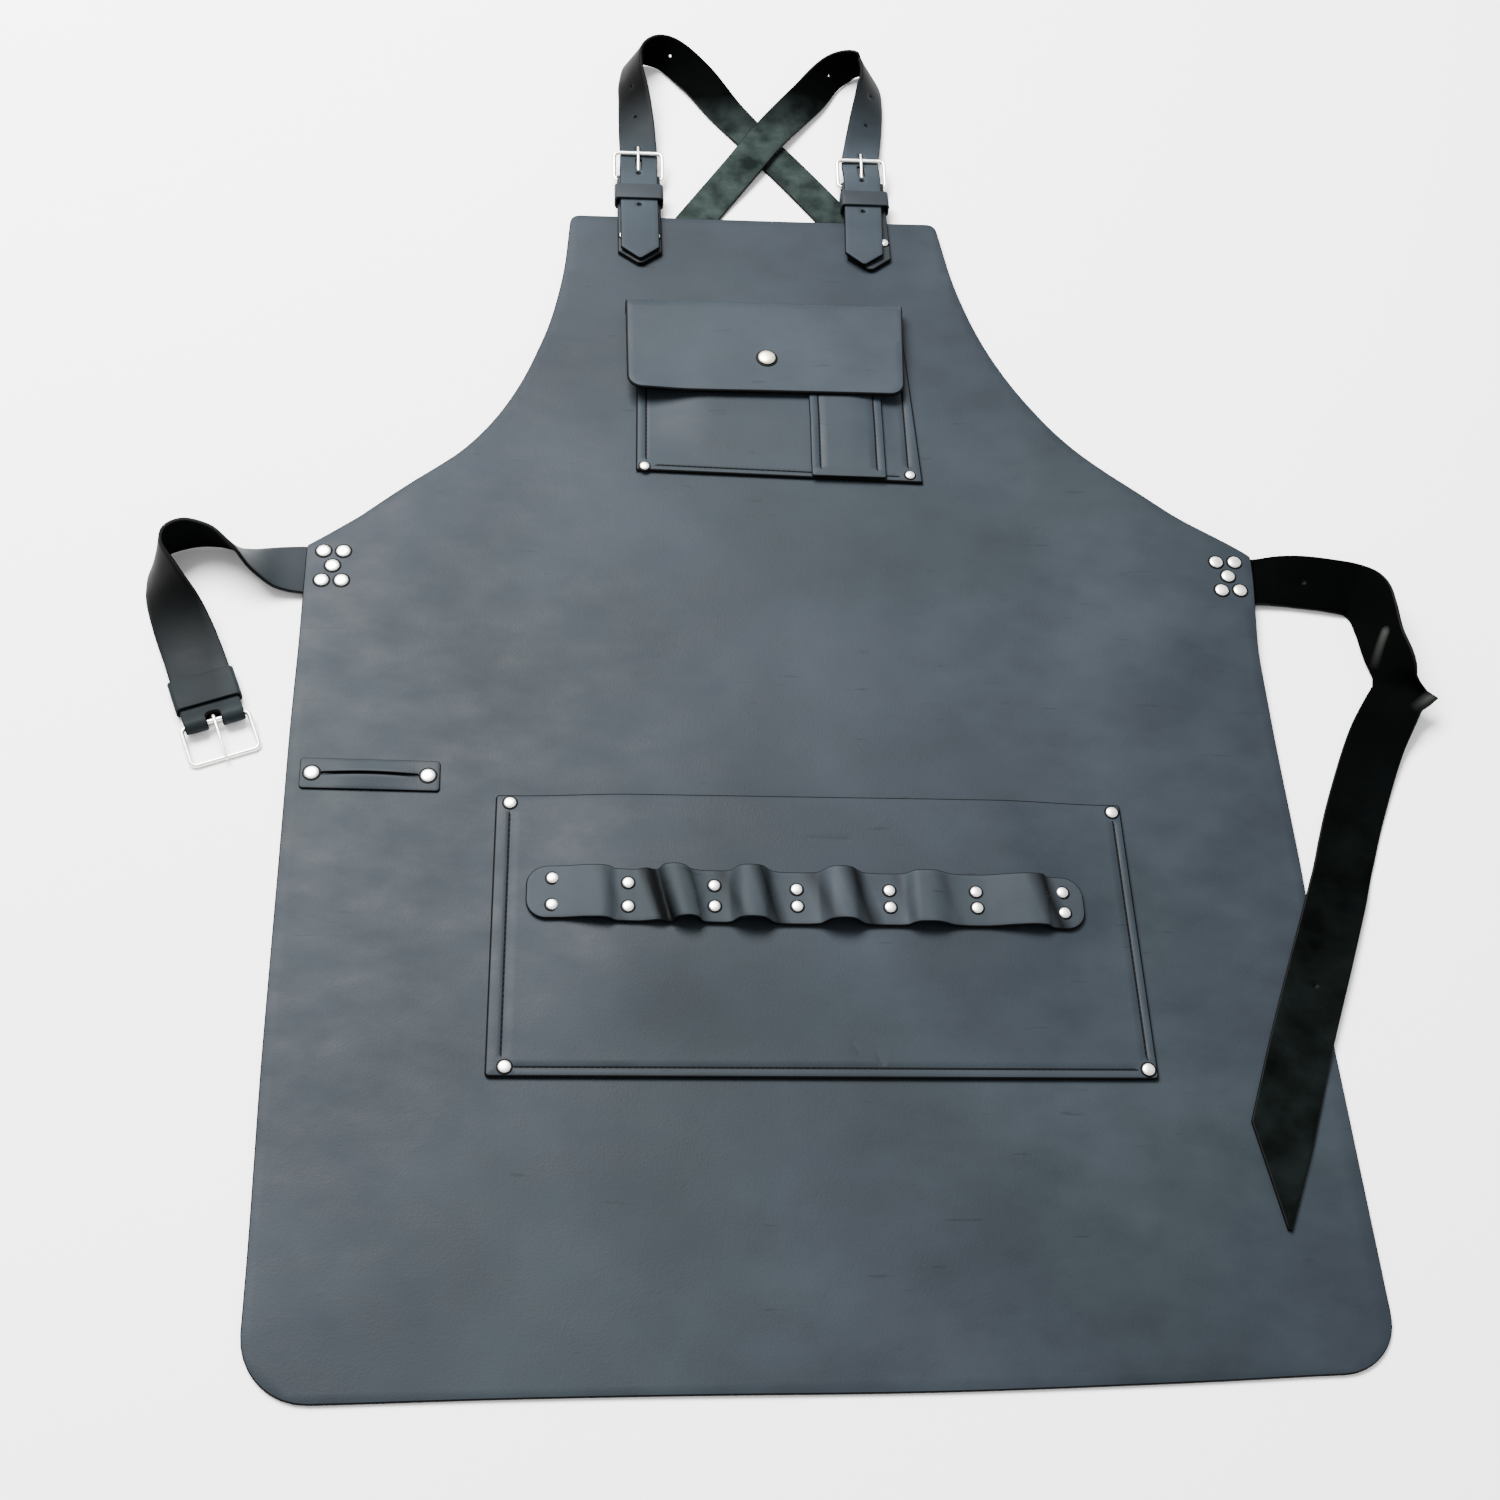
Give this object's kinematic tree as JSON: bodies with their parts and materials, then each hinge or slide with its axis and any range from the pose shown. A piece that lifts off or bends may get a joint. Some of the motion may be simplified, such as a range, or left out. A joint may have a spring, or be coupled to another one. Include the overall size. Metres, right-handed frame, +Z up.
{
  "type": "work apron",
  "caption": "Leather work apron lying flat: bib with flap pocket, skirt pocket with riveted tool loops, slit side tab, crossed buckled shoulder straps and buckled waist straps.",
  "frame": {"origin": "middle of the apron's outline with its straps, on the floor it lies on", "axes": "+X to the right of the bib, +Y from the hem to the bib and shoulder straps, +Z up from the floor"},
  "size_m": [0.8482, 1.0614, 0.0387],
  "materials": {
    "grey_leather": "worn matt",
    "dark_leather": "worn matt",
    "nickel": "polished"
  },
  "bodies": {
    "root": {"apron_body": "grey_leather", "bib_pocket": "grey_leather", "bib_rivet_left": "nickel", "bib_rivet_right": "nickel", "buckle_frame_left": "nickel", "buckle_frame_right": "nickel", "buckle_prong_left": "nickel", "buckle_prong_right": "nickel", "buckle_tab_left": "dark_leather", "buckle_tab_right": "dark_leather", "lower_pocket": "grey_leather", "pen_pocket": "grey_leather", "pocket_flap": "grey_leather", "pocket_rivet_low_left": "nickel", "pocket_rivet_low_right": "nickel", "pocket_rivet_top_left": "nickel", "pocket_rivet_top_right": "nickel", "shoulder_strap_left": "dark_leather", "shoulder_strap_right": "dark_leather", "side_tab": "grey_leather", "snap_cap": "nickel", "strap_keeper_left": "dark_leather", "strap_keeper_right": "dark_leather", "strap_rivet_left_inner": "nickel", "strap_rivet_left_outer": "nickel", "strap_rivet_right_inner": "nickel", "strap_rivet_right_outer": "nickel", "strip_rivet_lower_1": "nickel", "strip_rivet_lower_2": "nickel", "strip_rivet_lower_3": "nickel", "strip_rivet_lower_4": "nickel", "strip_rivet_lower_5": "nickel", "strip_rivet_lower_6": "nickel", "strip_rivet_lower_7": "nickel", "strip_rivet_upper_1": "nickel", "strip_rivet_upper_2": "nickel", "strip_rivet_upper_3": "nickel", "strip_rivet_upper_4": "nickel", "strip_rivet_upper_5": "nickel", "strip_rivet_upper_6": "nickel", "strip_rivet_upper_7": "nickel", "tab_rivet_left": "nickel", "tab_rivet_right": "nickel", "tool_loop_strip": "grey_leather", "waist_buckle": "nickel", "waist_keeper": "dark_leather", "waist_rivet_left_1": "nickel", "waist_rivet_left_2": "nickel", "waist_rivet_left_3": "nickel", "waist_rivet_left_4": "nickel", "waist_rivet_left_5": "nickel", "waist_rivet_right_1": "nickel", "waist_rivet_right_2": "nickel", "waist_rivet_right_3": "nickel", "waist_rivet_right_4": "nickel", "waist_rivet_right_5": "nickel", "waist_strap_left": "dark_leather", "waist_strap_right": "dark_leather"}
  },
  "joints": []
}
